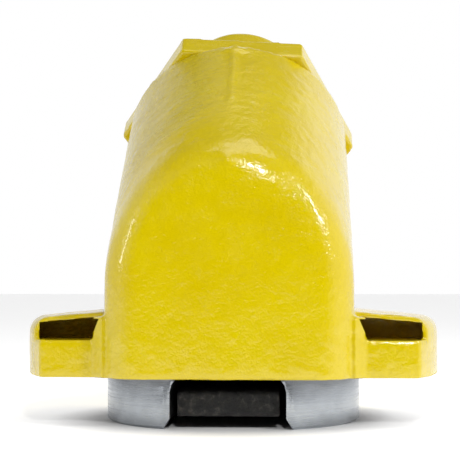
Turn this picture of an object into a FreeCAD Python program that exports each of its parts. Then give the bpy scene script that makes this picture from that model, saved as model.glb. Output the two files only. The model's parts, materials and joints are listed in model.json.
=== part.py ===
import FreeCAD, Part
import os
import re
import Sketcher

# Low toe jack, air over oil.  Millimetres, +Z up.
# Origin: on the floor, on the vertical axis of the round foot.  The flat front of the jack
# faces -Y and the barrel rises towards +Y.  Lengths "along the barrel" start where the
# barrel's axis meets the flat front face.

SIZES = {
    # foot: turned disc with a channel milled in from the front
    "foot_radius": 50, "foot_height": 18.5, "foot_chamfer": 1, "channel_gap": 2.2,
    "channel_back": 39, "channel_corner": 4.8, "channel_flare": 2.5,
    "channel_flare_rise": 4,
    # body casting: column, front face and inclined barrel
    "face_front": 50, "body_half": 46.5, "face_round": 14, "barrel_radius": 46.5, "tilt": 38,
    "axis_height": 42.5, "barrel_length": 117.6, "barrel_start": 55,
    # flange with the two hollow ears
    "flange_radius": 80.4, "flange_half_depth": 38.5, "brow_half_depth": 31.5, "flange_top": 43.6, "flange_edge": 40.4,
    "flange_round": 6, "ear_wall": 1.7, "pocket_floor": 32.3, "pocket_round": 4.5,
    "pocket_back": 2, "pocket_top_inner": 47, "pocket_floor_inner": 52.3,
    # toe and the rails that carry it
    "toe_half": 19.2, "toe_bottom": 4.3, "toe_top": 14.2, "toe_setback": 8, "toe_neck_half": 8.4,
    "toe_head_half": 12.8, "toe_head_height": 6.1, "toe_stroke": 30, "slot_front": 42,
    "slot_back": 38, "toe_chamfer": 2, "pull_groove_depth": 2.5, "pull_groove_width": 7,
    "rail_half": 18.6, "rail_height": 4.5, "slide_gap": 0.3, "rail_screw_x": 15.9,
    "rail_screw_radius": 1.5, "rail_screw_head": 2.7, "rail_screw_length": 11, "rail_seat_depth": 2.2,
    "rail_socket": 1.2,
    "pad_radius": 3.9, "pad_y": -2, "pad_length": 4.6, "pad_spring_length": 4.4, "pad_wire": 0.5,
    # lifting rams
    "ram_x": 33, "ram_y": 8, "ram_bore": 10, "ram_rod": 8, "ram_head": 10, "ram_seat": 6,
    "bore_room": 1.5, "lift_stroke": 10, "gland_radius": 12, "gland_height": 7, "gland_lift": 0.3,
    "gland_groove": 3, "wiper_depth": 2, "fit_gap": 0.1, "slip_gap": 0.05,
    "ram_thread": 4, "ram_screw_head": 6.5, "ram_screw_head_height": 8, "ram_screw_reach": 14,
    # air booster in the barrel
    "chamber_bottom": 52, "liner_outer": 36, "liner_inner": 33, "spigot_length": 19.6,
    "spigot_radius": 38, "piston_length": 14, "piston_plate": 5, "piston_cup": 28,
    "plunger_radius": 8, "plunger_stud": 5, "nut_height": 5, "nut_flats": 17,
    "pressure_bore": 8.3, "pressure_bottom": 16.5, "bush_radius": 13, "bush_bottom": 46,
    "bush_top": 60, "bush_flange": 17, "bush_flange_height": 3, "spring_wire": 1.5,
    "spring_radius": 24, "spring_turns": 3.5, "gallery_radius": 2,
    # end cap
    "cap_flats": 86.9, "cap_height": 11.4, "cap_turn": 3.7, "boss_radius": 28,
    "boss_length": 40, "boss_round": 4, "cap_hollow": 22, "cap_hollow_depth": 14,
    "port_radius": 5.9, "port_depth": 14, "air_hole": 3, "cap_groove_rim": 1.2,
    # small plugs and rings
    "plug_radius": 4, "plug_length": 8, "plug_recess": 6, "plug_recess_depth": 5,
    "socket_radius": 2.5, "socket_depth": 3, "cross_drill": 2.5, "cross_along": 30,
    "breather_along": 56, "lock_radius": 2.5, "lock_length": 7, "ring_radius": 1.5,
    "band_width": 4, "band_depth": 1.5, "band_start": 1.6, "piston_step": 0.3, "seal_top": 4,
    "seal_room": 4, "seal_depth": 2.5,
}

# sizes that follow from the ones above
DERIVED = {
    "channel_half": "toe_half + channel_gap",
    "channel_top_half": "toe_half + slide_gap",
    "rail_top": "foot_height + rail_height",
    "toe_head_top": "foot_height + rail_height + slide_gap + toe_head_height",
    "bore_top": "foot_height + gland_height + lift_stroke + ram_head + bore_room",
}

doc = FreeCAD.newDocument("toe_jack")
sheet = doc.addObject("Spreadsheet::Sheet", "Sizes")
for row, (word, number) in enumerate(SIZES.items(), start=1):
    sheet.set(f"A{row}", word)
    sheet.set(f"B{row}", str(number))
    sheet.setAlias(f"B{row}", word)
doc.recompute()


def sized(formula):
    """A formula in plain size names, written the way the document wants it."""
    def named(found):
        word = found[0]
        if word in DERIVED:
            return "(" + sized(DERIVED[word]) + ")"
        return "Sizes." + word if word in SIZES else word
    return re.sub(r"[a-z_]+", named, formula)


def value(formula):
    """The number that a formula gives now."""
    return float(sheet.evalExpression(sized(str(formula))))


def bind(thing, **formulas):
    """Ties properties of an object to formulas."""
    for name, formula in formulas.items():
        thing.setExpression(name.replace("__", "."), sized(str(formula)))
    return thing


def put(thing, x="0", y="0", z="0"):
    return bind(thing, Placement__Base__x=x, Placement__Base__y=y, Placement__Base__z=z)


ALONG_Y = "cos(tilt * 1 deg)"
ALONG_Z = "sin(tilt * 1 deg)"


def put_on_barrel(thing, along="0"):
    """Turns an object's own Z onto the barrel's axis, a length along it."""
    thing.Placement.Rotation = FreeCAD.Rotation(FreeCAD.Vector(-1, 0, 0), 1)
    put(thing, "0", f"-face_front + ({along}) * {ALONG_Y}", f"axis_height + ({along}) * {ALONG_Z}")
    return bind(thing, Placement__Rotation__Angle="90 - tilt")


def cylinder(name, radius, length):
    return bind(doc.addObject("Part::Cylinder", name), Radius=radius, Height=length)


def box(name, low, high):
    """A block between two corners given as formulas."""
    block = doc.addObject("Part::Box", name)
    length, width, height = (f"({b}) - ({a})" for a, b in zip(low, high))
    bind(block, Length=length, Width=width, Height=height)
    return put(block, *low)


def plane_of(body, role):
    return next(plane for plane in body.Origin.OriginFeatures if plane.Role == role)


def outline_sketch(body, role, outline):
    """A closed outline whose every corner is held by two formulas."""
    sketch = body.newObject("Sketcher::SketchObject", body.Name + "_outline")
    sketch.AttachmentSupport = [(plane_of(body, role), "")]
    sketch.MapMode = "FlatFace"
    spots = [FreeCAD.Vector(value(x), value(y), 0) for x, y in outline]
    count = len(spots)
    for i in range(count):
        sketch.addGeometry(Part.LineSegment(spots[i], spots[(i + 1) % count]), False)
    for i in range(count):
        sketch.addConstraint(Sketcher.Constraint("Coincident", i, 2, (i + 1) % count, 1))
    for i, (x, y) in enumerate(outline):
        for kind, axis, formula, now in (("DistanceX", -2, x, spots[i].x), ("DistanceY", -1, y, spots[i].y)):
            if str(formula) == "0":
                sketch.addConstraint(Sketcher.Constraint("PointOnObject", i, 1, axis))
                continue
            held = sketch.addConstraint(Sketcher.Constraint(kind, -1, 1, i, 1, now))
            sketch.setExpression(f"Constraints[{held}]", sized(str(formula)))
    return sketch


def turned(name, outline):
    """A body turned about its own Z from an outline of (radius, height) corners."""
    body = doc.addObject("PartDesign::Body", name)
    sketch = outline_sketch(body, "XZ_Plane", outline)
    turn = body.newObject("PartDesign::Revolution", name + "_turn")
    turn.Profile = sketch
    turn.ReferenceAxis = (sketch, ["V_Axis"])
    turn.Angle = 360
    return body


def milled(name, role, outline, length, both_ways=False):
    """A body padded from an outline on one of its own planes."""
    body = doc.addObject("PartDesign::Body", name)
    sketch = outline_sketch(body, role, outline)
    pad = body.newObject("PartDesign::Pad", name + "_pad")
    pad.Profile = sketch
    pad.Midplane = both_ways
    bind(pad, Length=length)
    return body


def hexagon(flats, turn="0"):
    """The six corners of a hexagon with the given width across flats."""
    reach = f"({flats}) / 2 / cos(30 deg)"
    return [(f"{reach} * cos(({60 * k} - ({turn})) * 1 deg)", f"{reach} * sin(({60 * k} - ({turn})) * 1 deg)")
            for k in range(6)]


def ring(name, inner, outer, low, high):
    return turned(name, [(inner, low), (outer, low), (outer, high), (inner, high)])


def cut(name, base, *tools):
    tool = tools[0]
    if len(tools) > 1:
        tool = doc.addObject("Part::MultiFuse", name + "_cutters")
        tool.Shapes = list(tools)
    result = doc.addObject("Part::Cut", name)
    result.Base = base
    result.Tool = tool
    return result


def fuse(name, *pieces):
    result = doc.addObject("Part::MultiFuse", name)
    result.Shapes = list(pieces)
    return result


def common(name, *pieces):
    result = doc.addObject("Part::MultiCommon", name)
    result.Shapes = list(pieces)
    return result


def group(name, *pieces):
    result = doc.addObject("Part::Compound", name)
    result.Links = list(pieces)
    return result


def rounded(name, base, radius, choose):
    """Rounds the edges of an object that the test picks."""
    doc.recompute()
    result = doc.addObject("Part::Fillet", name)
    result.Base = base
    size = value(radius)
    result.Edges = [(i, size, size) for i, edge in enumerate(base.Shape.Edges, start=1) if choose(edge)]
    return result


def lies(edge, **places):
    """True where an edge's box is flat at each given place."""
    bounds = edge.BoundBox
    return all(abs(getattr(bounds, axis + end) - place) < 0.01 for axis, place in places.items() for end in ("Min", "Max"))


NODES = []


def keep(name, thing):
    """Names a finished sub-part; its label is its node name."""
    thing.Label = name
    NODES.append(thing)
    return thing


# ---------------------------------------------------------------- shared drillings
SIDES = (("left", -1), ("right", 1))


def ram_spot(side):
    return f"{side} * ram_x", "ram_y"


def side_drilling(name, side, along, radius, start, length):
    """A round hole or plug across the barrel, along X, from a distance off its axis."""
    drill = cylinder(name, radius, length)
    drill.Placement.Rotation = FreeCAD.Rotation(FreeCAD.Vector(0, side, 0), 90)
    return put(drill, f"{side} * ({start})", f"-face_front + ({along}) * {ALONG_Y}",
               f"axis_height + ({along}) * {ALONG_Z}")


# ---------------------------------------------------------------- body casting
def body_casting():
    # column: flat front, straight sides, round back
    front = box("column_front", ("-body_half", "-face_front", "foot_height"),
                ("body_half", "0", "axis_height + barrel_length"))
    back = cylinder("column_back", "body_half", "axis_height + barrel_length - foot_height")
    put(back, z="foot_height")
    column = fuse("column", front, back)
    # the arch carries the round top of the barrel forward over straight sides
    reach = "2 * face_front + barrel_length"
    arch_top = put_on_barrel(cylinder("arch_top", "barrel_radius", reach), "-2 * face_front")
    arch_sides = milled("arch_sides", "XY_Plane",
                        [("-body_half", 0), ("body_half", 0), ("body_half", "3 * face_front"),
                         ("-body_half", "3 * face_front")], f"{reach} - 4")
    put_on_barrel(arch_sides, "-2 * face_front")
    arch = fuse("arch", arch_top, arch_sides)
    block = common("front_block", column, arch)
    doc.recompute()
    front_y = -value("face_front")
    foot_z = value("foot_height")
    block = rounded("front_round", block, "face_round",
                    lambda edge: lies(edge, Y=front_y) and not lies(edge, Z=foot_z))
    barrel = cylinder("barrel", "barrel_radius", "barrel_length - barrel_start")
    put_on_barrel(barrel, "barrel_start")
    # flange: a disc cut flat at front and back, with a soft upper edge
    disc = turned("flange_disc", [(0, "foot_height"), ("flange_radius", "foot_height"),
                                  ("flange_radius", "flange_edge"), ("body_half", "flange_top"), (0, "flange_top")])
    slab = box("flange_slab", ("-2 * flange_radius", "-flange_half_depth", "0"),
               ("2 * flange_radius", "flange_half_depth", "2 * flange_top"))
    edge_z = value("flange_edge")
    disc_round = rounded("flange_soft", disc, "flange_round", lambda edge: lies(edge, Z=edge_z))
    flange = common("flange", disc_round, slab)
    solid = fuse("casting_solid", block, barrel, flange)

    # ear pockets: round outer wall, sloping inner wall, open to the front
    hollow = turned("pocket_ring", [
        ("body_half / 2", "pocket_floor"), ("flange_radius - ear_wall", "pocket_floor"),
        ("flange_radius - ear_wall", "flange_edge - ear_wall"), ("body_half", "flange_top - ear_wall"),
        ("body_half / 2", "flange_top - ear_wall")])
    roof_z = value("flange_edge - ear_wall")
    hollow_soft = rounded("pocket_soft", hollow, "pocket_round", lambda edge: lies(edge, Z=roof_z))
    cutters = []
    for word, side in SIDES:
        wedge = milled("pocket_" + word, "XZ_Plane", [
            (f"{side} * pocket_floor_inner", "pocket_floor - 1"), (f"{side} * 2 * flange_radius", "pocket_floor - 1"),
            (f"{side} * 2 * flange_radius", "flange_top"), (f"{side} * pocket_top_inner", "flange_top")],
            "flange_radius")
        put(wedge, y="-pocket_back")
        # the ear's roof and outer wall stand back from the lip of the pocket's floor
        near, far = f"{side} * body_half", f"{side} * 2 * flange_radius"
        low, high = (near, far) if side > 0 else (far, near)
        cutters.append(box("brow_" + word, (low, "-2 * flange_radius", "pocket_floor"),
                           (high, "-brow_half_depth", "2 * flange_top")))
        cutters.append(common("ear_pocket_" + word, hollow_soft, wedge))
        # ram bore with its gland seat, and the oil gallery up to the pressure bore
        x, y = ram_spot(side)
        ram_bore = cylinder("ram_bore_" + word, "ram_bore", "bore_top - foot_height + 1")
        gland_seat = cylinder("gland_seat_" + word, "gland_radius", "gland_height + 1")
        cutters += [put(bore, x, y, "foot_height - 1") for bore in (ram_bore, gland_seat)]
        gallery = bind(doc.addObject("Part::Cylinder", "gallery_" + word), Radius="gallery_radius")
        start = FreeCAD.Vector(value(x), value(y), value("bore_top - 3"))
        along = value("bush_bottom - 6")
        end = FreeCAD.Vector(0, value(f"-face_front + {along} * {ALONG_Y}"),
                             value(f"axis_height + {along} * {ALONG_Z}"))
        gallery.Height = (end - start).Length
        gallery.Placement = FreeCAD.Placement(start, FreeCAD.Rotation(FreeCAD.Vector(0, 0, 1), end - start))
        cutters.append(gallery)
        cutters.append(side_drilling("plug_drill_" + word, side, "cross_along", "plug_radius",
                                     "body_half - plug_recess_depth - plug_length", "plug_length + 1"))
        cutters.append(side_drilling("plug_recess_" + word, side, "cross_along", "plug_recess",
                                     "body_half - plug_recess_depth", "plug_recess_depth + 1"))
        cutters.append(side_drilling("cross_drill_" + word, side, "cross_along", "cross_drill", "0",
                                     "body_half - plug_recess_depth"))
    # slot for the toe's head and the step for its rails
    cutters.append(box("head_slot", ("-toe_head_half - slide_gap", "-slot_front", "foot_height - 1"),
                       ("toe_head_half + slide_gap", "slot_back", "toe_head_top + slide_gap")))
    cutters.append(box("rail_step", ("-rail_half - fit_gap", "-slot_front", "foot_height - 1"),
                       ("rail_half + fit_gap", "slot_back", "rail_top")))
    pad_hole = cylinder("pad_hole", "pad_radius + fit_gap", "pad_length + pad_spring_length")
    cutters.append(put(pad_hole, "0", "pad_y", "toe_head_top"))
    for word, x, y in rail_screw_spots():
        thread = cylinder("rail_thread_" + word, "rail_screw_radius", "rail_screw_length")
        cutters.append(put(thread, x, y, "foot_height"))
    # barrel bores
    for word, radius, start in (("liner_bore", "liner_outer", "chamber_bottom"),
                                ("spigot_bore", "spigot_radius", "barrel_length - spigot_length"),
                                ("bush_bore", "bush_radius", "bush_bottom"),
                                ("pressure_drill", "pressure_bore", "pressure_bottom")):
        cutters.append(put_on_barrel(cylinder(word, radius, "barrel_length"), start))
    cutters.append(side_drilling("breather_drill", -1, "breather_along", "plug_radius", "liner_outer - 4",
                                 "barrel_radius"))
    cutters.append(lock_drill("lock_drill", "lock_radius", "spigot_radius - 2", "barrel_radius"))
    return cut("casting", solid, *cutters)


def lock_drill(name, radius, start, length):
    """A radial hole or screw on the lower side of the barrel's mouth."""
    drill = cylinder(name, radius, length)
    half = "(barrel_length - spigot_length / 2)"
    drill.Placement.Rotation = FreeCAD.Rotation(FreeCAD.Vector(1, 0, 0), 1)
    put(drill, "0", f"-face_front + {half} * {ALONG_Y} + ({start}) * {ALONG_Z}",
        f"axis_height + {half} * {ALONG_Z} - ({start}) * {ALONG_Y}")
    return bind(drill, Placement__Rotation__Angle="180 + tilt")


def rail_screw_spots():
    """Three screws for each rail."""
    middle, length = "(slot_back - slot_front) / 2", "(slot_back + slot_front)"
    return [(f"{word}_{number}", f"{side} * rail_screw_x", f"{middle} + {step} * {length}")
            for word, side in SIDES for number, step in enumerate((-0.4, 0, 0.4), start=1)]


keep("body_casting", body_casting())


# ---------------------------------------------------------------- foot
def foot():
    disc = turned("foot_disc", [(0, 0), ("foot_radius - foot_chamfer", 0), ("foot_radius", "foot_chamfer"),
                                ("foot_radius", "foot_height"), (0, "foot_height")])
    # the mouth of the channel has dropped upper corners and a flare at the floor
    right_side = [("channel_half + channel_flare", "-1"), ("channel_half + channel_flare", "0.01"),
                  ("channel_half", "channel_flare_rise"), ("channel_half", "foot_height - channel_corner"),
                  ("channel_half * 0.65 + channel_top_half * 0.35", "foot_height - channel_corner * 0.45"),
                  ("channel_top_half", "foot_height - 0.3"), ("channel_top_half", "foot_height + 1")]
    left_side = [(f"-({x})", z) for x, z in reversed(right_side)]
    mouth = milled("channel_mouth", "XZ_Plane", right_side + left_side, "2 * foot_radius")
    put(mouth, y="channel_back")
    cutters = [mouth]
    for word, side in SIDES:
        x, y = ram_spot(side)
        seat = cylinder("foot_seat_" + word, "ram_rod", "ram_seat + 1")
        counterbore = cylinder("foot_counterbore_" + word, "ram_screw_head + fit_gap", "ram_screw_head_height + 2")
        cutters.append(put(seat, x, y, "foot_height - ram_seat"))
        cutters.append(put(cylinder("foot_hole_" + word, "ram_thread", "foot_height"), x, y, "0"))
        cutters.append(put(counterbore, x, y, "-1"))
    return cut("foot", disc, *cutters)


keep("foot_ring", foot())


def socket_screw(name, radius, length, head_radius, head_height, socket="socket_radius"):
    """Cap screw along +Z: head from 0 up, shank above it, six-sided socket in the head."""
    shank = turned(name, [(0, 0), (head_radius, 0), (head_radius, head_height), (radius, head_height),
                          (radius, f"({head_height}) + ({length})"), (0, f"({head_height}) + ({length})")])
    socket_cut = milled(name + "_socket", "XY_Plane", hexagon(f"2 * ({socket})"), f"({head_height}) / 2")
    return shank, socket_cut


def screw_set(node, spots, make):
    """Identical screws as one node; make(name) gives a screw at the origin and its socket."""
    screws = []
    for word, x, y, z in spots:
        shank, socket_cut = make(node + "_" + word)
        put(shank, x, y, z)
        put(socket_cut, x, y, z)
        screws.append(cut(node + "_cut_" + word, shank, socket_cut))
    return group(node, *screws)


FOOT_SHANK = "foot_height - ram_seat - 1 - ram_screw_head_height + ram_screw_reach"
keep("foot_screws", screw_set(
    "foot_screws", [(word, *ram_spot(side), "1") for word, side in SIDES],
    lambda name: socket_screw(name, "ram_thread", FOOT_SHANK, "ram_screw_head", "ram_screw_head_height", "3")))

# ---------------------------------------------------------------- lifting rams
HEAD_LOW = "foot_height + gland_height + lift_stroke + 0.5"
for word, side in SIDES:
    x, y = ram_spot(side)
    low = "foot_height - ram_seat"
    ram = turned("ram_turn_" + word, [
        (0, low), ("ram_rod", low), ("ram_rod", HEAD_LOW), ("ram_bore - fit_gap", HEAD_LOW),
        ("ram_bore - fit_gap", f"{HEAD_LOW} + 1"), ("ram_bore - 1.5", f"{HEAD_LOW} + 1"),
        ("ram_bore - 1.5", f"{HEAD_LOW} + 3"), ("ram_bore - fit_gap", f"{HEAD_LOW} + 3"),
        ("ram_bore - fit_gap", f"{HEAD_LOW} + 4.5"), ("ram_bore - 2.5", f"{HEAD_LOW} + 4.5"),
        ("ram_bore - 2.5", f"{HEAD_LOW} + 9"), ("ram_bore - fit_gap", f"{HEAD_LOW} + 9"),
        ("ram_bore - fit_gap", f"{HEAD_LOW} + ram_head"), (0, f"{HEAD_LOW} + ram_head")])
    put(ram, x, y)
    thread = put(cylinder("ram_thread_" + word, "ram_thread", "ram_screw_reach + 1"), x, y, f"{low} - 1")
    keep("ram_" + word, cut("ram_cut_" + word, ram, thread))


def ring_pair(node, inner, outer, low, high):
    """The same ring on each ram."""
    rings = []
    for word, side in SIDES:
        x, y = ram_spot(side)
        rings.append(put(ring(node + "_" + word, inner, outer, low, high), x, y))
    return group(node, *rings)


keep("ram_wear_rings", ring_pair("ram_wear_rings", "ram_bore - 1.5", "ram_bore - slip_gap",
                                 f"{HEAD_LOW} + 1", f"{HEAD_LOW} + 3"))
keep("ram_backup_rings", ring_pair("ram_backup_rings", "ram_bore - 2.5", "ram_bore - slip_gap",
                                   f"{HEAD_LOW} + 4.5", f"{HEAD_LOW} + 6"))
keep("ram_seals", ring_pair("ram_seals", "ram_bore - 2.5", "ram_bore - slip_gap",
                            f"{HEAD_LOW} + 6", f"{HEAD_LOW} + 9"))

glands = []
wipers = []
GLAND_LOW = "foot_height + gland_lift"
GLAND_HIGH = "foot_height + gland_height"
GROOVE_TOP = "foot_height + gland_lift + gland_groove"
for word, side in SIDES:
    x, y = ram_spot(side)
    gland = turned("gland_turn_" + word, [
        ("ram_rod + fit_gap", GROOVE_TOP), ("ram_rod + wiper_depth", GROOVE_TOP), ("ram_rod + wiper_depth", GLAND_LOW),
        ("gland_radius", GLAND_LOW), ("gland_radius", GLAND_HIGH), ("ram_rod + fit_gap", GLAND_HIGH)])
    wiper = ring("wiper_" + word, "ram_rod + slip_gap", "ram_rod + wiper_depth", f"{GLAND_LOW} + 0.2", GROOVE_TOP)
    glands.append(put(gland, x, y))
    wipers.append(put(wiper, x, y))
keep("ram_glands", group("ram_glands", *glands))
keep("ram_wipers", group("ram_wipers", *wipers))


# ---------------------------------------------------------------- toe and its rails
def toe():
    nose = "-foot_radius + toe_setback"
    back = "slot_back - slide_gap"
    groove_front = f"{nose} + toe_chamfer * 2"
    groove_back = f"{groove_front} + pull_groove_width"
    groove_roof = "toe_bottom + pull_groove_depth"
    bar = milled("toe_bar", "YZ_Plane", [
        (nose, "toe_bottom"), (groove_front, "toe_bottom"), (groove_front, groove_roof), (groove_back, groove_roof),
        (groove_back, "toe_bottom"), (back, "toe_bottom"), (back, "toe_top"),
        (f"{nose} + toe_chamfer", "toe_top"), (nose, "toe_top - toe_chamfer / 2")], "2 * toe_half", both_ways=True)
    front = "-slot_front + slide_gap + toe_stroke"
    neck = box("toe_neck", ("-toe_neck_half", front, "toe_top - 1"), ("toe_neck_half", back, "toe_head_top - 1"))
    head = box("toe_head", ("-toe_head_half", front, "rail_top + slide_gap"),
               ("toe_head_half", back, "toe_head_top"))
    return fuse("toe_forging", bar, neck, head)


keep("toe", toe())

for word, side in SIDES:
    inner = f"{side} * (toe_neck_half + slide_gap)"
    outer = f"{side} * rail_half"
    edges = (inner, outer) if side > 0 else (outer, inner)
    bar = box("rail_bar_" + word, (edges[0], "-slot_front + fit_gap", "foot_height + slide_gap"),
              (edges[1], "slot_back - fit_gap", "rail_top"))
    seats = []
    for spot, x, y in rail_screw_spots():
        if spot.startswith(word):
            seat = cylinder("rail_seat_" + spot, "rail_screw_head", "rail_seat_depth")
            hole = cylinder("rail_hole_" + spot, "rail_screw_radius", "rail_screw_length")
            seats += [put(drilling, x, y, "foot_height") for drilling in (seat, hole)]
    keep("toe_rail_" + word, cut("toe_rail_cut_" + word, bar, *seats))

keep("rail_screws", screw_set(
    "rail_screws", [(word, x, y, "foot_height + slide_gap + fit_gap") for word, x, y in rail_screw_spots()],
    lambda name: socket_screw(name, "rail_screw_radius", "rail_screw_length - 3", "rail_screw_head",
                              "rail_seat_depth - slide_gap - fit_gap", "rail_socket")))

drag_pad = cylinder("drag_pad", "pad_radius", "pad_length")
keep("toe_drag_pad", put(drag_pad, "0", "pad_y", "toe_head_top + slip_gap"))


def coil(name, radius, wire, length, turns):
    """A round-wire compression spring standing on its own Z, ends inside its length."""
    helix = doc.addObject("Part::Helix", name + "_line")
    rise = f"({length}) - 2 * ({wire}) - 0.1"
    bind(helix, Radius=radius, Pitch=f"({rise}) / ({turns})", Height=rise)
    helix.SegmentLength = 1
    circle = bind(doc.addObject("Part::Circle", name + "_wire"), Radius=wire)
    circle.Placement.Rotation = FreeCAD.Rotation(FreeCAD.Vector(1, 0, 0), 90)
    put(circle, radius)
    doc.recompute()
    sweep = doc.addObject("Part::Sweep", name)
    sweep.Sections = [circle]
    sweep.Spine = (helix, [f"Edge{i + 1}" for i in range(len(helix.Shape.Edges))])
    sweep.Solid = True
    sweep.Frenet = True
    return sweep


pad_spring = coil("pad_spring", "pad_radius - 1", "pad_wire", "pad_spring_length", "2.5")
keep("toe_drag_spring", put(pad_spring, "0", "pad_y", "toe_head_top + pad_length + pad_wire + slip_gap"))

# ---------------------------------------------------------------- air booster
PISTON_LOW = "barrel_length - spigot_length - piston_length"
keep("booster_liner", put_on_barrel(ring("liner", "liner_inner", "liner_outer", "0",
                                         "barrel_length - spigot_length - chamber_bottom"), "chamber_bottom"))
FLANGE_LOW = "chamber_bottom - bush_bottom"
FLANGE_HIGH = "chamber_bottom - bush_bottom + bush_flange_height"
BUSH_LENGTH = "bush_top - bush_bottom"
keep("plunger_bush", put_on_barrel(turned("bush", [
    ("plunger_radius + fit_gap", 0), ("bush_radius", 0), ("bush_radius", FLANGE_LOW), ("bush_flange", FLANGE_LOW),
    ("bush_flange", FLANGE_HIGH), ("bush_radius", FLANGE_HIGH), ("bush_radius", BUSH_LENGTH),
    ("plunger_radius + fit_gap", BUSH_LENGTH), ("plunger_radius + fit_gap", f"{BUSH_LENGTH} - seal_top"),
    ("plunger_radius + seal_depth", f"{BUSH_LENGTH} - seal_top"),
    ("plunger_radius + seal_depth", f"{BUSH_LENGTH} - seal_top - seal_room"),
    ("plunger_radius + fit_gap", f"{BUSH_LENGTH} - seal_top - seal_room")]), "bush_bottom"))
plunger_seal = ring("plunger_seal_turn", "plunger_radius + slip_gap", "plunger_radius + seal_depth",
                    "0.2", "seal_room - 0.2")
keep("plunger_seal", put_on_barrel(plunger_seal, "bush_top - seal_top - seal_room"))
PLUNGER_LOW = "bush_bottom + 4"
SHOULDER = f"{PISTON_LOW} + piston_length - piston_plate - ({PLUNGER_LOW})"
STUD_END = f"{PISTON_LOW} + piston_length + nut_height + 2 - ({PLUNGER_LOW})"
keep("plunger", put_on_barrel(turned("plunger_turn", [
    (0, 0), ("plunger_radius - 1", 0), ("plunger_radius", 1), ("plunger_radius", SHOULDER),
    ("plunger_stud", SHOULDER), ("plunger_stud", STUD_END), (0, STUD_END)]), PLUNGER_LOW))
SKIRT = "liner_inner - fit_gap"
PISTON_GROOVE = "liner_inner - slip_gap - 2 * ring_radius"
BAND_HIGH = "band_start + band_width"
GROOVE_LOW = "band_start + band_width + 1.2"
GROOVE_HIGH = "band_start + band_width + 1.4 + 2 * ring_radius"
keep("booster_piston", put_on_barrel(turned("piston_turn", [
    ("plunger_stud", "piston_length - piston_plate"), ("piston_cup", "piston_length - piston_plate"),
    ("piston_cup", "0.6"), (SKIRT, "0.6"), (SKIRT, "band_start"), ("liner_inner - band_depth", "band_start"),
    ("liner_inner - band_depth", BAND_HIGH), (SKIRT, BAND_HIGH), (SKIRT, GROOVE_LOW), (PISTON_GROOVE, GROOVE_LOW),
    (PISTON_GROOVE, GROOVE_HIGH), (SKIRT, GROOVE_HIGH), (SKIRT, "piston_length - piston_step"),
    ("plunger_stud", "piston_length - piston_step")]), PISTON_LOW))
band = ring("band", "liner_inner - band_depth", "liner_inner - slip_gap", "band_start", BAND_HIGH)
keep("piston_band", put_on_barrel(band, PISTON_LOW))


def o_ring(name, touching, along):
    """A round cord ring whose outside just touches a bore."""
    cord = doc.addObject("Part::Torus", name)
    bind(cord, Radius1=f"({touching}) - ring_radius", Radius2="ring_radius - 0.02")
    return put_on_barrel(cord, along)


keep("piston_seal", o_ring("piston_ring", "liner_inner - slip_gap", f"{PISTON_LOW} + {GROOVE_LOW} + 0.1 + ring_radius"))
nut_body = milled("nut_hex", "XY_Plane", hexagon("nut_flats"), "nut_height")
put_on_barrel(nut_body, f"{PISTON_LOW} + piston_length - piston_step")
nut_hole = cylinder("nut_hole", "plunger_stud", "nut_height + 2")
put_on_barrel(nut_hole, f"{PISTON_LOW} + piston_length - piston_step - 1")
keep("piston_nut", cut("nut_cut", nut_body, nut_hole))
SPRING_LENGTH = f"{PISTON_LOW} + piston_length - piston_plate - chamber_bottom - 0.1"
booster_spring = coil("booster_spring", "spring_radius", "spring_wire", SPRING_LENGTH, "spring_turns")
keep("return_spring", put_on_barrel(booster_spring, "chamber_bottom + spring_wire + 0.1"))


# ---------------------------------------------------------------- end cap
def end_cap():
    groove_low = "-spigot_length + cap_groove_rim"
    groove_high = "-spigot_length + cap_groove_rim + 0.2 + 2 * ring_radius"
    spigot = turned("cap_spigot", [
        (0, "-spigot_length"), ("spigot_radius", "-spigot_length"), ("spigot_radius", groove_low),
        ("spigot_radius - 2 * ring_radius", groove_low), ("spigot_radius - 2 * ring_radius", groove_high),
        ("spigot_radius", groove_high), ("spigot_radius", "1"), (0, "1")])
    put_on_barrel(spigot, "barrel_length")
    plate = milled("cap_hex", "XY_Plane", hexagon("cap_flats", "-cap_turn"), "cap_height")
    put_on_barrel(plate, "barrel_length")
    boss = put_on_barrel(turned("cap_boss", [
        (0, 0), ("boss_radius", 0), ("boss_radius", "boss_length + 1 - boss_round"),
        ("boss_radius - boss_round * 0.3", "boss_length + 1 - boss_round * 0.3"),
        ("boss_radius - boss_round", "boss_length + 1"), (0, "boss_length + 1")]), "barrel_length + cap_height - 1")
    body = fuse("cap_solid", spigot, plate, boss)
    hollow = cylinder("cap_hollow_cut", "cap_hollow", "cap_hollow_depth + 1")
    put_on_barrel(hollow, "barrel_length - spigot_length - 1")
    port = cylinder("port_cut", "port_radius", "port_depth + 1")
    put_on_barrel(port, "barrel_length + cap_height + boss_length - port_depth")
    hole = cylinder("air_hole_cut", "air_hole", "cap_height + boss_length")
    put_on_barrel(hole, "barrel_length - spigot_length + cap_hollow_depth - 1")
    return cut("cap_machined", body, hollow, port, hole)


keep("end_cap", end_cap())
keep("end_cap_ring", o_ring("cap_ring", "spigot_radius",
                            "barrel_length - spigot_length + cap_groove_rim + 0.1 + ring_radius"))


# ---------------------------------------------------------------- plugs and lock screw
def side_plug(name, side):
    body = side_drilling(name + "_body", side, "cross_along", "plug_radius - slip_gap",
                         "body_half - plug_recess_depth - plug_length", "plug_length")
    head = side_drilling(name + "_head", side, "cross_along", "plug_recess - 0.5",
                         "body_half - plug_recess_depth", "plug_recess_depth - 1")
    socket_cut = milled(name + "_socket", "XY_Plane", hexagon("2 * socket_radius"), "socket_depth + 1")
    socket_cut.Placement.Rotation = FreeCAD.Rotation(FreeCAD.Vector(0, side, 0), 90)
    put(socket_cut, f"{side} * (body_half - 1 - socket_depth)", f"-face_front + cross_along * {ALONG_Y}",
        f"axis_height + cross_along * {ALONG_Z}")
    return cut(name, fuse(name + "_solid", body, head), socket_cut)


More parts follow.
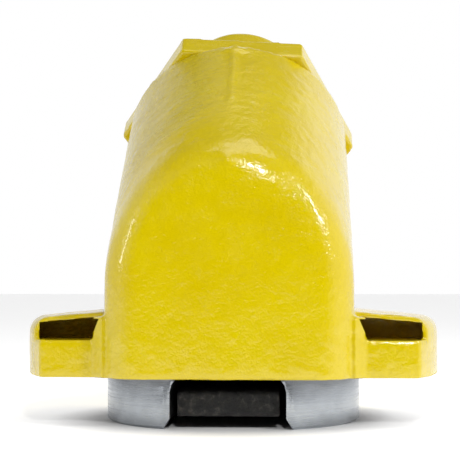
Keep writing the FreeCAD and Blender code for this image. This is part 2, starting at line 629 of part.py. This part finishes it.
keep("oil_fill_plug", side_plug("fill_plug", -1))
keep("bleed_screw", side_plug("bleed", 1))
keep("breather_plug", side_drilling("breather", -1, "breather_along", "plug_radius", "liner_outer + 0.3",
                                    "barrel_radius - liner_outer - 0.8"))
lock = lock_drill("lock", "lock_radius", "spigot_radius", "lock_length")
lock_socket = lock_drill("lock_socket", "lock_radius / 2", "spigot_radius + lock_length - 2", "3")
keep("cap_lock_screw", cut("lock_cut", lock, lock_socket))

# ---------------------------------------------------------------- checks and files
doc.recompute()
for thing in doc.Objects:
    if "Invalid" in thing.State or "Error" in thing.State:
        raise RuntimeError(f"{thing.Name} did not build: {thing.State}")
os.makedirs("parts", exist_ok=True)
for node in NODES:
    shape = node.Shape
    if shape.isNull() or not shape.isValid() or not shape.Solids:
        raise RuntimeError(f"{node.Label} is not a valid solid")
    shape.exportStep(f"parts/{node.Label}.step")
    print(f"{node.Label:20s} solids {len(shape.Solids)}  volume {shape.Volume / 1000:8.2f} cm3")
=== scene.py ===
import json
import math
import bpy
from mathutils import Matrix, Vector


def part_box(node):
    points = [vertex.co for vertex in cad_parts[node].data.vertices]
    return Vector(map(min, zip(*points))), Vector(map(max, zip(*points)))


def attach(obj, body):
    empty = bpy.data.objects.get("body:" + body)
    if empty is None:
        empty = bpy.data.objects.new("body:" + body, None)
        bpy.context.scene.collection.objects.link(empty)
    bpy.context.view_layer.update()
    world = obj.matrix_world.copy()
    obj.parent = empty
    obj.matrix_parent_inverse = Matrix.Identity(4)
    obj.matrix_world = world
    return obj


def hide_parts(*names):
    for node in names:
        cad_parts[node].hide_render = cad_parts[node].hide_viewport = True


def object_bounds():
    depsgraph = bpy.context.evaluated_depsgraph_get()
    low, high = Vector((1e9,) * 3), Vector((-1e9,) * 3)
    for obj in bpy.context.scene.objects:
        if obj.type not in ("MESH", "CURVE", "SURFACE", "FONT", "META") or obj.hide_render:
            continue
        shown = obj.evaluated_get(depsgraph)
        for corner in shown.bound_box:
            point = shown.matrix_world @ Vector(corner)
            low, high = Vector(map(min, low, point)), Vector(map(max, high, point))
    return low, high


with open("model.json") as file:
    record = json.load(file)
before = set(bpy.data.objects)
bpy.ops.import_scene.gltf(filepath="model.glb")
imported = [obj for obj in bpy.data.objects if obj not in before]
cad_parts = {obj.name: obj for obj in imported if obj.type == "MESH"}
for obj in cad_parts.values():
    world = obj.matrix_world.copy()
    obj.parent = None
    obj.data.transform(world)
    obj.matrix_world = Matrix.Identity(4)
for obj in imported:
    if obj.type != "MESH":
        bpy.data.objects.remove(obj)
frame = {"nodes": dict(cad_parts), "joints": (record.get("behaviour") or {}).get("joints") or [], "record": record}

MM = 0.001
nodes = frame["nodes"]
cad_low, cad_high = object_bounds()

# ---------------------------------------------------------------- body casting
# The body is one heavy iron sand casting: column, inclined barrel and a flange with two hollow
# ears. It leaves the mould rough, with a flash line down the barrel, is bored and faced on a mill
# and then gets a thick coat of lemon-yellow enamel that softens every edge.
CAST_VOXEL = 0.95 * MM
PLUG_OVERSIZE = 0.6 * MM
MACHINED_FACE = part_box("foot_ring")[1].z
BARREL_END = 117.6
BODY_HALF = 46.5 * MM
EAR_FRONT = 38.5 * MM
EAR_TOP = 41 * MM
EAR_ROOF = 43.6 * MM
POCKET_FLOOR = 32.3 * MM
POCKET_EAVES = 38.9 * MM
POCKET_ROOF = 42.1 * MM
POCKET_RADIUS = 78.8 * MM
POCKET_BACK = 2 * MM
POCKET_INNER_LOW = 51.8 * MM
POCKET_INNER_HIGH = 46.8 * MM
BROW_LOW = 60 * MM
BROW_BACK = -20 * MM
BROW_HEIGHT = 20 * MM
BROW_DEPTH = 14 * MM
LINER_SPOT = 75
BREATHER_SPOT = 56
PLUG_SPOT = 30
LOCK_SPOT = 107.8
SKIN_DEPTH = 46.2
CREST = -45.6
ROUND = 48
FINE_ROUND = 160
barrel = -Vector(next(joint["axis"] for joint in frame["joints"] if joint["name"] == "booster_slide"))
liner_low, liner_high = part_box("booster_liner")
liner_middle = (liner_low + liner_high) / 2
barrel_under = Vector((0, barrel.z, -barrel.y))


def along_barrel(length, below=0):
    """A point of the barrel, by its length from the flat front and its drop under the axis, in mm."""
    return liner_middle + barrel * (length - LINER_SPOT) * MM + barrel_under * below * MM


def pick(*pieces):
    """Selects the given objects and nothing else."""
    bpy.ops.object.select_all(action="DESELECT")
    for piece in pieces:
        piece.select_set(True)
    bpy.context.view_layer.objects.active = pieces[0]


def settle(piece):
    """Moves a piece's place into its mesh."""
    pick(piece)
    bpy.ops.object.transform_apply(location=True, rotation=True, scale=True)
    return piece


def rod(name, start, end, radius, sides=96):
    """A round bar between two points."""
    bpy.ops.object.select_all(action="DESELECT")
    way = end - start
    bpy.ops.mesh.primitive_cylinder_add(vertices=sides, radius=radius, depth=way.length,
                                        location=(start + end) / 2,
                                        rotation=way.to_track_quat("Z", "Y").to_euler())
    piece = bpy.context.object
    piece.name = name
    return settle(piece)


def block(name, low, high):
    """A block between two corners."""
    bpy.ops.object.select_all(action="DESELECT")
    bpy.ops.mesh.primitive_cube_add(size=1, location=(Vector(low) + Vector(high)) / 2,
                                    scale=Vector(high) - Vector(low))
    piece = bpy.context.object
    piece.name = name
    return settle(piece)


def merged_copy(node, name):
    """The plain shape of a frame node, welded, as a new piece to work on."""
    bpy.ops.object.select_all(action="DESELECT")
    piece = bpy.data.objects.new(name, nodes[node].data.copy())
    bpy.context.scene.collection.objects.link(piece)
    pick(piece)
    bpy.ops.object.mode_set(mode="EDIT")
    bpy.ops.mesh.select_all(action="SELECT")
    bpy.ops.mesh.remove_doubles(threshold=0.005 * MM)
    bpy.ops.mesh.normals_make_consistent(inside=False)
    bpy.ops.object.mode_set(mode="OBJECT")
    return piece


def join(piece, *others):
    pick(piece, *others)
    bpy.ops.object.join()
    return piece


def work(piece, kind, **settings):
    """Adds a modifier to a piece, sets it and applies it."""
    pick(piece)
    bpy.ops.object.modifier_add(type=kind)
    modifier = piece.modifiers[-1]
    for setting, amount in settings.items():
        setattr(modifier, setting, amount)
    bpy.ops.object.modifier_apply(modifier=modifier.name)
    return piece


def cut_away(piece, *cutters, painted=False):
    """Takes each cutter's shape out of a piece; unpainted cuts show the second material."""
    for cutter in cutters:
        cutter.data.materials.clear()
        for material in piece.data.materials:
            cutter.data.materials.append(material)
        for face in cutter.data.polygons:
            face.material_index = 0 if painted else len(piece.data.materials) - 1
        work(piece, "BOOLEAN", operation="DIFFERENCE", object=cutter, solver="MANIFOLD")
        bpy.data.objects.remove(cutter)
    return piece


def lumps(piece, name, size, depth, level=0.1):
    """Presses a soft random relief into a piece's skin; a high level keeps it inside the skin."""
    texture = bpy.data.textures.new(name, "CLOUDS")
    texture.noise_scale = size
    texture.noise_depth = 1
    return work(piece, "DISPLACE", texture=texture, texture_coords="LOCAL", strength=depth, mid_level=level)


def new_material(name):
    """An empty material: its node tree, its main shader and a coordinate node."""
    material = bpy.data.materials.new(name)
    material.use_nodes = True
    tree = material.node_tree
    shader = tree.nodes["Principled BSDF"]
    place = tree.nodes.new("ShaderNodeTexCoord").outputs["Object"]
    return material, tree, shader, place


def noise(tree, place, scale, detail=3, stretch=(1, 1, 1), turn=(0, 0, 0), roughness=0.5):
    """A noise pattern, stretched and turned; scale is in waves per metre."""
    mapping = tree.nodes.new("ShaderNodeMapping")
    mapping.vector_type = "TEXTURE"
    mapping.inputs["Scale"].default_value = [1 / share for share in stretch]
    mapping.inputs["Rotation"].default_value = turn
    tree.links.new(place, mapping.inputs["Vector"])
    pattern = tree.nodes.new("ShaderNodeTexNoise")
    pattern.inputs["Scale"].default_value = scale
    pattern.inputs["Detail"].default_value = detail
    pattern.inputs["Roughness"].default_value = roughness
    tree.links.new(mapping.outputs["Vector"], pattern.inputs["Vector"])
    return pattern.outputs["Fac"]


def ramp(tree, factor, *stops):
    """Colours or greys spread over a pattern, as (place, colour) stops."""
    spread = tree.nodes.new("ShaderNodeValToRGB")
    while len(spread.color_ramp.elements) < len(stops):
        spread.color_ramp.elements.new(0.5)
    for element, (position, colour) in zip(spread.color_ramp.elements, stops):
        element.position = position
        element.color = (*colour, 1) if isinstance(colour, tuple) else (colour, colour, colour, 1)
    tree.links.new(factor, spread.inputs["Fac"])
    return spread.outputs["Color"]


def times(tree, first, second):
    node = tree.nodes.new("ShaderNodeMath")
    node.operation = "MULTIPLY"
    tree.links.new(first, node.inputs[0])
    if isinstance(second, (int, float)):
        node.inputs[1].default_value = second
    else:
        tree.links.new(second, node.inputs[1])
    return node.outputs["Value"]


def relief(tree, shader, *layers):
    """Bump layers on a shader, as (pattern, height in metres)."""
    below = None
    for pattern, height in layers:
        bump = tree.nodes.new("ShaderNodeBump")
        bump.inputs["Distance"].default_value = height
        tree.links.new(pattern, bump.inputs["Height"])
        if below:
            tree.links.new(below, bump.inputs["Normal"])
        below = bump.outputs["Normal"]
    tree.links.new(below, shader.inputs["Normal"])


def enamel(name, streaks=False):
    """Thick glossy yellow enamel, over a rough casting or brushed over a machined cap."""
    material, tree, shader, place = new_material(name)
    shader.inputs["Coat Weight"].default_value = 0.5
    shader.inputs["Coat Roughness"].default_value = 0.06
    shader.inputs["IOR"].default_value = 1.52
    patches = noise(tree, place, 45, 4)
    tint = ramp(tree, patches, (0.25, (0.71, 0.54, 0.0)), (0.5, (0.74, 0.57, 0.0)),
                (0.75, (0.76, 0.60, 0.0)))
    tree.links.new(tint, shader.inputs["Base Color"])
    sheen = noise(tree, place, 160, 3)
    tree.links.new(ramp(tree, sheen, (0.35, 0.16), (0.7, 0.30)), shader.inputs["Roughness"])
    peel = noise(tree, place, 330, 2)
    fine = noise(tree, place, 1100, 2)
    if streaks:
        brushed = noise(tree, place, 90, 3, stretch=(0.6, 7, 7), turn=(math.radians(38), 0, 0))
        relief(tree, shader, (peel, 0.10 * MM), (brushed, 0.22 * MM))
        return material
    # drawn wrinkles cross the left flank of the barrel, where the sand was patched
    split = tree.nodes.new("ShaderNodeSeparateXYZ")
    tree.links.new(place, split.inputs["Vector"])
    left = tree.nodes.new("ShaderNodeMapRange")
    left.inputs["From Min"].default_value = 4 * MM
    left.inputs["From Max"].default_value = -14 * MM
    tree.links.new(split.outputs["X"], left.inputs["Value"])
    wrinkles = noise(tree, place, 170, 4, stretch=(1, 3.6, 1), turn=(math.radians(38), 0, math.radians(6)),
                     roughness=0.62)
    behind = tree.nodes.new("ShaderNodeMapRange")
    behind.inputs["From Min"].default_value = -36 * MM
    behind.inputs["From Max"].default_value = -24 * MM
    tree.links.new(split.outputs["Y"], behind.inputs["Value"])
    drawn = times(tree, times(tree, wrinkles, left.outputs["Result"]), behind.outputs["Result"])
    relief(tree, shader, (peel, 0.36 * MM), (fine, 0.13 * MM), (drawn, 1.8 * MM))
    return material


def bare_metal(name, colour, roughness, lines=None, metallic=1.0, grain=0.02):
    """Machined metal: fine cutting lines, soft stains and a slightly uneven polish."""
    material, tree, shader, place = new_material(name)
    shader.inputs["Metallic"].default_value = metallic
    stains = noise(tree, place, 60, 5)
    dark = tuple(part * 0.72 for part in colour)
    tree.links.new(ramp(tree, stains, (0.3, dark), (0.62, colour)), shader.inputs["Base Color"])
    polish = noise(tree, place, 240, 4, stretch=lines or (1, 1, 1))
    tree.links.new(ramp(tree, polish, (0.3, max(roughness - 0.1, 0.04)), (0.7, roughness + 0.08)),
                   shader.inputs["Roughness"])
    cuts = noise(tree, place, 900, 2, stretch=lines or (1, 1, 1))
    relief(tree, shader, (cuts, grain * MM))
    return material


casting_enamel = enamel("casting_enamel")
milled_iron = bare_metal("milled_iron", (0.34, 0.33, 0.32), 0.35, grain=0.03)

# one row for each machined hole: its name, its two ends and its radius in mm
ram_spots = [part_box(name) for name in ("ram_left", "ram_right")]
ram_axes = [((low.x + high.x) / 2, (low.y + high.y) / 2) for low, high in ram_spots]
head_reach = 47 * MM
plug_line = along_barrel(PLUG_SPOT)
breather = along_barrel(BREATHER_SPOT)
leftward = Vector((-MM, 0, 0))
bores = [("pressure_bore", along_barrel(16.5), along_barrel(60), 8.3),
         ("bush_bore", along_barrel(46), along_barrel(60), 13),
         ("liner_bore", along_barrel(52), along_barrel(BARREL_END + 4), 36),
         ("spigot_bore", along_barrel(98), along_barrel(BARREL_END + 4), 38),
         ("breather_hole", breather + leftward * 30, breather + leftward * 50, 4),
         ("lock_hole", along_barrel(LOCK_SPOT, 36), along_barrel(LOCK_SPOT, 50), 2.5)]
for x, y in ram_axes:
    mouth = Vector((x, y, MACHINED_FACE - 1 * MM))
    bores.append(("ram_bore", mouth, Vector((x, y, head_reach)), 10))
    bores.append(("gland_seat", mouth, Vector((x, y, MACHINED_FACE + 7 * MM)), 12))
for side in (-1, 1):
    flank = Vector((side * BODY_HALF, plug_line.y, plug_line.z))
    inward = Vector((-side * MM, 0, 0))
    bores.append(("plug_recess", flank + inward * 5, flank - inward, 6))
    bores.append(("plug_thread", flank + inward * 13, flank, 4))
# the toe head's way and the seat of the rails
slots = [((-13.1, -42, 17.5), (13.1, 38, 29.7)), ((-18.7, -42, 17.5), (18.7, 38, 23))]
slots = [[Vector(corner) * MM for corner in slot] for slot in slots]
pad_hole = [Vector((0, -2, 28)) * MM, Vector((0, -2, 38.4)) * MM]

# the rough casting: the same shape with its holes filled, a flash ridge and a lump by the cap
cast_body = merged_copy("body_casting", "cast_body")
fillers = []
for name, start, end, radius in bores:
    reach = along_barrel(BARREL_END) if name in ("liner_bore", "spigot_bore") else end
    if name in ("plug_recess", "plug_thread"):
        reach = Vector((math.copysign(BODY_HALF, end.x), end.y, end.z))
    if name == "breather_hole":
        reach = breather + leftward * SKIN_DEPTH
    if name == "lock_hole":
        reach = along_barrel(LOCK_SPOT, SKIN_DEPTH)
    fillers.append(rod("filled_" + name, start, reach, radius * MM + PLUG_OVERSIZE, ROUND))
for low, high in slots:
    fillers.append(block("filled_slot", (low.x, low.y - PLUG_OVERSIZE, MACHINED_FACE),
                         (high.x, high.y + PLUG_OVERSIZE, high.z + PLUG_OVERSIZE)))
fillers.append(rod("filled_pad_hole", *pad_hole, 4 * MM + PLUG_OVERSIZE, ROUND))
flash = rod("flash_ridge", along_barrel(33, -44.6), along_barrel(BARREL_END, CREST), 2.0 * MM, 24)
bpy.ops.object.select_all(action="DESELECT")
bpy.ops.mesh.primitive_ico_sphere_add(subdivisions=3, radius=1, location=along_barrel(BARREL_END - 3, CREST),
                                      scale=(6 * MM, 2.6 * MM, 1.9 * MM))
lump = settle(bpy.context.object)
# a web softens the corner between each ear and the column
webs = [rod("ear_web", Vector((side * BODY_HALF, -EAR_FRONT, MACHINED_FACE)),
            Vector((side * BODY_HALF, -EAR_FRONT, EAR_TOP)), 4.5 * MM, 4) for side in (-1, 1)]
join(cast_body, flash, lump, *webs, *fillers)
work(cast_body, "REMESH", mode="VOXEL", voxel_size=CAST_VOXEL)
# the edge between the front and the barrel is the softest one, so it is smoothed most
brow = cast_body.vertex_groups.new(name="soft_brow")
for corner in cast_body.data.vertices:
    height = (corner.co.z - BROW_LOW) / BROW_HEIGHT
    depth = (BROW_BACK - corner.co.y) / BROW_DEPTH
    weight = max(0, min(1, height)) * max(0, min(1, depth))
    if weight > 0:
        brow.add([corner.index], weight, "REPLACE")
work(cast_body, "SMOOTH", factor=0.5, iterations=170, vertex_group="soft_brow")
work(cast_body, "SMOOTH", factor=0.5, iterations=3)
cast_body.data.materials.clear()
cast_body.data.materials.append(casting_enamel)
cast_body.data.materials.append(milled_iron)
for face in cast_body.data.polygons:
    face.material_index = 0
lumps(cast_body, "sand_lumps", 9 * MM, 0.36 * MM)
lumps(cast_body, "sand_grain", 3.5 * MM, 0.16 * MM)

# the pocket of each ear: a thin roof and outer wall, a sloping inner wall, open to the front
for side in (-1, 1):
    hollow = rod("ear_hollow", Vector((0, 0, POCKET_FLOOR - 12 * MM)), Vector((0, 0, POCKET_EAVES)),
                 POCKET_RADIUS, FINE_ROUND)
    bpy.ops.object.select_all(action="DESELECT")
    bpy.ops.mesh.primitive_cone_add(vertices=FINE_ROUND, radius1=POCKET_RADIUS, radius2=BODY_HALF,
                                    depth=POCKET_ROOF - POCKET_EAVES,
                                    location=(0, 0, (POCKET_ROOF + POCKET_EAVES) / 2))
    roof = settle(bpy.context.object)
    work(hollow, "BOOLEAN", operation="UNION", object=roof, solver="MANIFOLD")
    work(hollow, "BEVEL", width=4 * MM, segments=5, limit_method="ANGLE", angle_limit=math.radians(50))
    wedge = block("ear_wedge", (0, -0.1, POCKET_FLOOR), (0.1, -POCKET_BACK, EAR_ROOF))
    for corner in wedge.data.vertices:
        if corner.co.x < 0.05:
            corner.co.x = POCKET_INNER_LOW if corner.co.z < POCKET_EAVES else POCKET_INNER_HIGH
    wedge.scale.x = side
    settle(wedge)
    pick(wedge)
    bpy.ops.object.mode_set(mode="EDIT")
    bpy.ops.mesh.select_all(action="SELECT")
    bpy.ops.mesh.normals_make_consistent(inside=False)
    bpy.ops.object.mode_set(mode="OBJECT")
    work(hollow, "BOOLEAN", operation="INTERSECT", object=wedge, solver="MANIFOLD")
    cut_away(cast_body, hollow, painted=True)
    bpy.data.objects.remove(wedge)
    bpy.data.objects.remove(roof)

# then the machining: the seat of the foot, the toe slot and every bore
cutters = [block("face_cut", (-0.1, -0.1, -0.02), (0.1, 0.1, MACHINED_FACE))]
cutters += [rod("cut_" + name, start, end, radius * MM) for name, start, end, radius in bores]
cutters += [block("cut_slot", low, high) for low, high in slots]
cutters.append(rod("cut_pad_hole", *pad_hole, 4 * MM, ROUND))
cut_away(cast_body, *cutters)
pick(cast_body)
bpy.ops.object.shade_smooth_by_angle(angle=math.radians(40))
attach(cast_body, "jack_body")
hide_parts("body_casting")

# ---------------------------------------------------------------- end cap
# A turned and milled iron cap closes the barrel: a spigot inside, a big hexagon for the wrench and
# a round boss with the air port. It is painted with the body, so brush marks show on its flats.
BOSS_END = 169
PORT_DEPTH = 14
HOLLOW_START = 97
HOLLOW_END = 112
PORT_RADIUS = 5.9 * MM
AIR_RADIUS = 3 * MM
HOLLOW_RADIUS = 22 * MM
cap_enamel = enamel("cap_enamel", streaks=True)
cap = merged_copy("end_cap", "hex_end_cap")
cap_fillers = [rod("filled_port", along_barrel(98.0), along_barrel(BOSS_END), 6.4 * MM, 48),
               rod("filled_hollow", along_barrel(98.0), along_barrel(112.6), 22.5 * MM, 64)]
join(cap, *cap_fillers)
work(cap, "REMESH", mode="VOXEL", voxel_size=0.75 * MM)
work(cap, "SMOOTH", factor=0.5, iterations=3)
cap.data.materials.clear()
cap.data.materials.append(cap_enamel)
cap.data.materials.append(milled_iron)
for face in cap.data.polygons:
    face.material_index = 0
lumps(cap, "cap_paint", 14 * MM, 0.3 * MM)
cut_away(cap, rod("cut_hollow", along_barrel(HOLLOW_START), along_barrel(HOLLOW_END), HOLLOW_RADIUS),
         rod("cut_air_hole", along_barrel(100), along_barrel(BOSS_END + 1), AIR_RADIUS, ROUND),
         rod("cut_port", along_barrel(BOSS_END - PORT_DEPTH), along_barrel(BOSS_END + 2), PORT_RADIUS, 64))
pick(cap)
bpy.ops.object.shade_smooth_by_angle(angle=math.radians(40))
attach(cap, "jack_body")
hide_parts("end_cap")

# ---------------------------------------------------------------- round foot
# The foot is a disc of bare steel turned on a lathe, with a small chamfer at both edges and a
# channel milled in from the front for the toe. It is oiled, never painted; the walls of the channel get a flat
# near-black colour as painted shade.
CHANNEL_REACH = 25 * MM
CHANNEL_BACK = 39.5 * MM
turned_steel = bare_metal("turned_steel", (0.43, 0.455, 0.485), 0.26, lines=(0.12, 0.12, 5), grain=0.012)
# a flat near-black for the walls of the milled channel: painted shade for the shadow inside the channel, not a
# finish of the steel
channel_shade_black = bare_metal("channel_painted_shade", (0.012, 0.012, 0.012), 0.6, metallic=0.0, grain=0.3)
foot = merged_copy("foot_ring", "turned_foot")
work(foot, "BEVEL", width=0.35 * MM, segments=2, limit_method="ANGLE", angle_limit=math.radians(35))
foot.data.materials.clear()
foot.data.materials.append(turned_steel)
foot.data.materials.append(channel_shade_black)
# faces on the walls inside the toe channel take the painted shade
for face in foot.data.polygons:
    outward = Vector((face.center.x, face.center.y, 0)).normalized()
    inside = abs(face.center.x) < CHANNEL_REACH and face.center.y < CHANNEL_BACK and abs(face.normal.z) < 0.9
    if inside and face.normal.dot(outward) < 0.6:
        face.material_index = 1
pick(foot)
bpy.ops.object.shade_smooth_by_angle(angle=math.radians(32))
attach(foot, "foot")
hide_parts("foot_ring")

# ---------------------------------------------------------------- toe
# The toe is a flat black forging that slides out of the foot. Forging scale leaves it pitted and
# dull, with the high spots rubbed a little lighter.
forged, forged_tree, forged_shader, forged_place = new_material("forging_scale")
scale_patches = noise(forged_tree, forged_place, 420, 6, roughness=0.65)
forged_tint = ramp(forged_tree, scale_patches, (0.35, (0.004, 0.004, 0.004)),
                   (0.55, (0.018, 0.017, 0.015)), (0.75, (0.11, 0.10, 0.085)))
forged_tree.links.new(forged_tint, forged_shader.inputs["Base Color"])
forged_shader.inputs["Roughness"].default_value = 0.48
pits = noise(forged_tree, forged_place, 500, 5, roughness=0.7)
relief(forged_tree, forged_shader, (pits, 2.2 * MM))
toe = merged_copy("toe", "forged_toe")
work(toe, "REMESH", mode="VOXEL", voxel_size=0.9 * MM)
work(toe, "SMOOTH", factor=0.5, iterations=3)
toe.data.materials.clear()
toe.data.materials.append(forged)
lumps(toe, "hammer_marks", 3.5 * MM, 0.6 * MM, level=0.9)
pick(toe)
bpy.ops.object.shade_smooth_by_angle(angle=math.radians(45))
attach(toe, "toe")
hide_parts("toe")

# ---------------------------------------------------------------- inner steelwork
# Everything under the skin keeps its machined shape and gets its real finish: ground and hard
# chromed rams, zinc plated screws, oiled rails, bronze bushes, moulded seals and turned plastic.


def moulded(name, colour, roughness, grain=0.05):
    """Rubber or plastic: slightly mottled and finely matted."""
    material, tree, shader, place = new_material(name)
    mottle = noise(tree, place, 200, 4)
    deep = tuple(part * 0.75 for part in colour)
    tree.links.new(ramp(tree, mottle, (0.3, deep), (0.65, colour)), shader.inputs["Base Color"])
    shader.inputs["Roughness"].default_value = roughness
    relief(tree, shader, (noise(tree, place, 1500, 3), grain * MM))
    return material


finishes = {
    "bare_steel": turned_steel,
    "zinc_steel": bare_metal("zinc_plate", (0.62, 0.63, 0.60), 0.30),
    "ground_steel": bare_metal("hard_chrome", (0.72, 0.73, 0.75), 0.14, lines=(0.2, 0.2, 5), grain=0.008),
    "rail_steel": bare_metal("oiled_tool_steel", (0.36, 0.36, 0.37), 0.32, lines=(6, 0.2, 0.2)),
    "bronze": bare_metal("bearing_bronze", (0.62, 0.42, 0.18), 0.30),
    "aluminium": bare_metal("turned_aluminium", (0.74, 0.75, 0.76), 0.28),
    "spring_steel": bare_metal("oiled_spring_wire", (0.20, 0.20, 0.21), 0.34),
    "sintered_bronze": bare_metal("sintered_bronze", (0.50, 0.36, 0.18), 0.55, grain=0.12),
    "rubber": moulded("nitrile_rubber", (0.022, 0.022, 0.022), 0.55),
    "urethane": moulded("seal_urethane", (0.05, 0.10, 0.22), 0.40),
    "acetal": moulded("turned_acetal", (0.80, 0.77, 0.68), 0.42),
}
for part in frame["record"]["subparts"]:
    finish = finishes.get(part["material_slot"])
    if finish and part["node"] != "foot_ring":
        piece = nodes[part["node"]]
        piece.data.materials.clear()
        piece.data.materials.append(finish)

# ---------------------------------------------------------------- floor and light
# White paper under the jack, which glows as painted light so that it shows no shadow, except in a disc
# under the foot where it keeps its own shade; a light tent around it, one small lamp high in front, a wide one
# above and two strips that draw the highlights along the rounded front edge.
bpy.ops.object.select_all(action="DESELECT")
bpy.ops.mesh.primitive_plane_add(size=6, location=(0, 2.7, 0))
floor = settle(bpy.context.object)
floor.name = "studio_floor"
paper, paper_tree, paper_shader, paper_place = new_material("white_paper")
paper_tree.links.new(ramp(paper_tree, noise(paper_tree, paper_place, 3, 2), (0.3, (0.90, 0.90, 0.90)),
                          (0.7, (0.93, 0.93, 0.93))), paper_shader.inputs["Base Color"])
paper_shader.inputs["Roughness"].default_value = 0.7
paper_shader.inputs["Emission Color"].default_value = (1, 1, 1, 1)
# the paper's glow is painted light: none within 52 mm of the middle, under the foot, rising to 0.5 beyond 75 mm,
# where it washes out the shadow on the floor
from_middle = paper_tree.nodes.new("ShaderNodeVectorMath")
from_middle.operation = "LENGTH"
paper_tree.links.new(paper_place, from_middle.inputs[0])
paper_tree.links.new(ramp(paper_tree, from_middle.outputs["Value"], (0.052, 0.0), (0.075, 0.5)),
                     paper_shader.inputs["Emission Strength"])
floor.data.materials.append(paper)

bpy.context.scene.view_settings.view_transform = "Standard"
world = bpy.data.worlds.new("studio")
bpy.context.scene.world = world
world.use_nodes = True
# the tent is bright at the sides and behind, and open towards the front
tent = world.node_tree
tent_place = tent.nodes.new("ShaderNodeTexCoord").outputs["Generated"]
tent_split = tent.nodes.new("ShaderNodeSeparateXYZ")
tent.links.new(tent_place, tent_split.inputs["Vector"])
tent.nodes["Background"].inputs["Color"].default_value = (1, 1, 1, 1)
tent_light = None
for side, stops in (("Y", ((0.07, 0.0), (0.18, 0.50), (0.32, 0.78), (0.5, 0.95), (1.0, 1.0))),
                    ("Z", ((0.0, 1.0), (0.78, 1.0), (0.90, 0.12))),
                    ("X", ((0.0, 0.72), (0.5, 1.0), (1.0, 1.0)))):
    tent_way = tent.nodes.new("ShaderNodeMapRange")
    tent_way.inputs["From Min"].default_value = -1
    tent.links.new(tent_split.outputs[side], tent_way.inputs["Value"])
    share = ramp(tent, tent_way.outputs["Result"], *stops)
    tent_light = times(tent, tent_light, share) if tent_light else share
backdrop = tent.nodes.new("ShaderNodeMath")
backdrop.operation = "MAXIMUM"
tent.links.new(tent_light, backdrop.inputs[0])
tent.links.new(tent.nodes.new("ShaderNodeLightPath").outputs["Is Camera Ray"], backdrop.inputs[1])
tent.links.new(backdrop.outputs["Value"], tent.nodes["Background"].inputs["Strength"])


def soft_light(name, place, aim, width, height, power):
    light = bpy.data.lights.new(name, "AREA")
    light.shape = "RECTANGLE"
    light.size = width
    light.size_y = height
    light.energy = power
    lamp = bpy.data.objects.new(name, light)
    bpy.context.scene.collection.objects.link(lamp)
    lamp.location = place
    lamp.rotation_mode = "QUATERNION"
    lamp.rotation_quaternion = (Vector(aim) - Vector(place)).to_track_quat("-Z", "Y")
    return lamp


middle = (cad_low + cad_high) / 2
soft_light("overhead", (0.13, -0.78, 0.58), middle, 0.06, 0.045, 2.3)
soft_light("top_fill", (0.10, -0.10, 1.0), middle, 0.60, 0.50, 1.7)
soft_light("right_strip", (0.60, -0.45, 0.50), middle, 0.05, 0.20, 2.0)
soft_light("left_strip", (-0.60, -0.30, 0.25), middle, 0.05, 0.20, 0.4)

# ---------------------------------------------------------------- camera
# Low, close and almost square to the flat front.
lens = bpy.data.cameras.new("product_camera")
lens.sensor_width = 36
lens.lens = 103.15
lens.clip_start = 0.01
lens.clip_end = 20
camera = bpy.data.objects.new("product_camera", lens)
bpy.context.scene.collection.objects.link(camera)
camera.location = (0.0243, -0.5286, 0.0538)
camera.rotation_euler = (math.radians(92.29), 0, math.radians(2.78))
bpy.context.scene.camera = camera
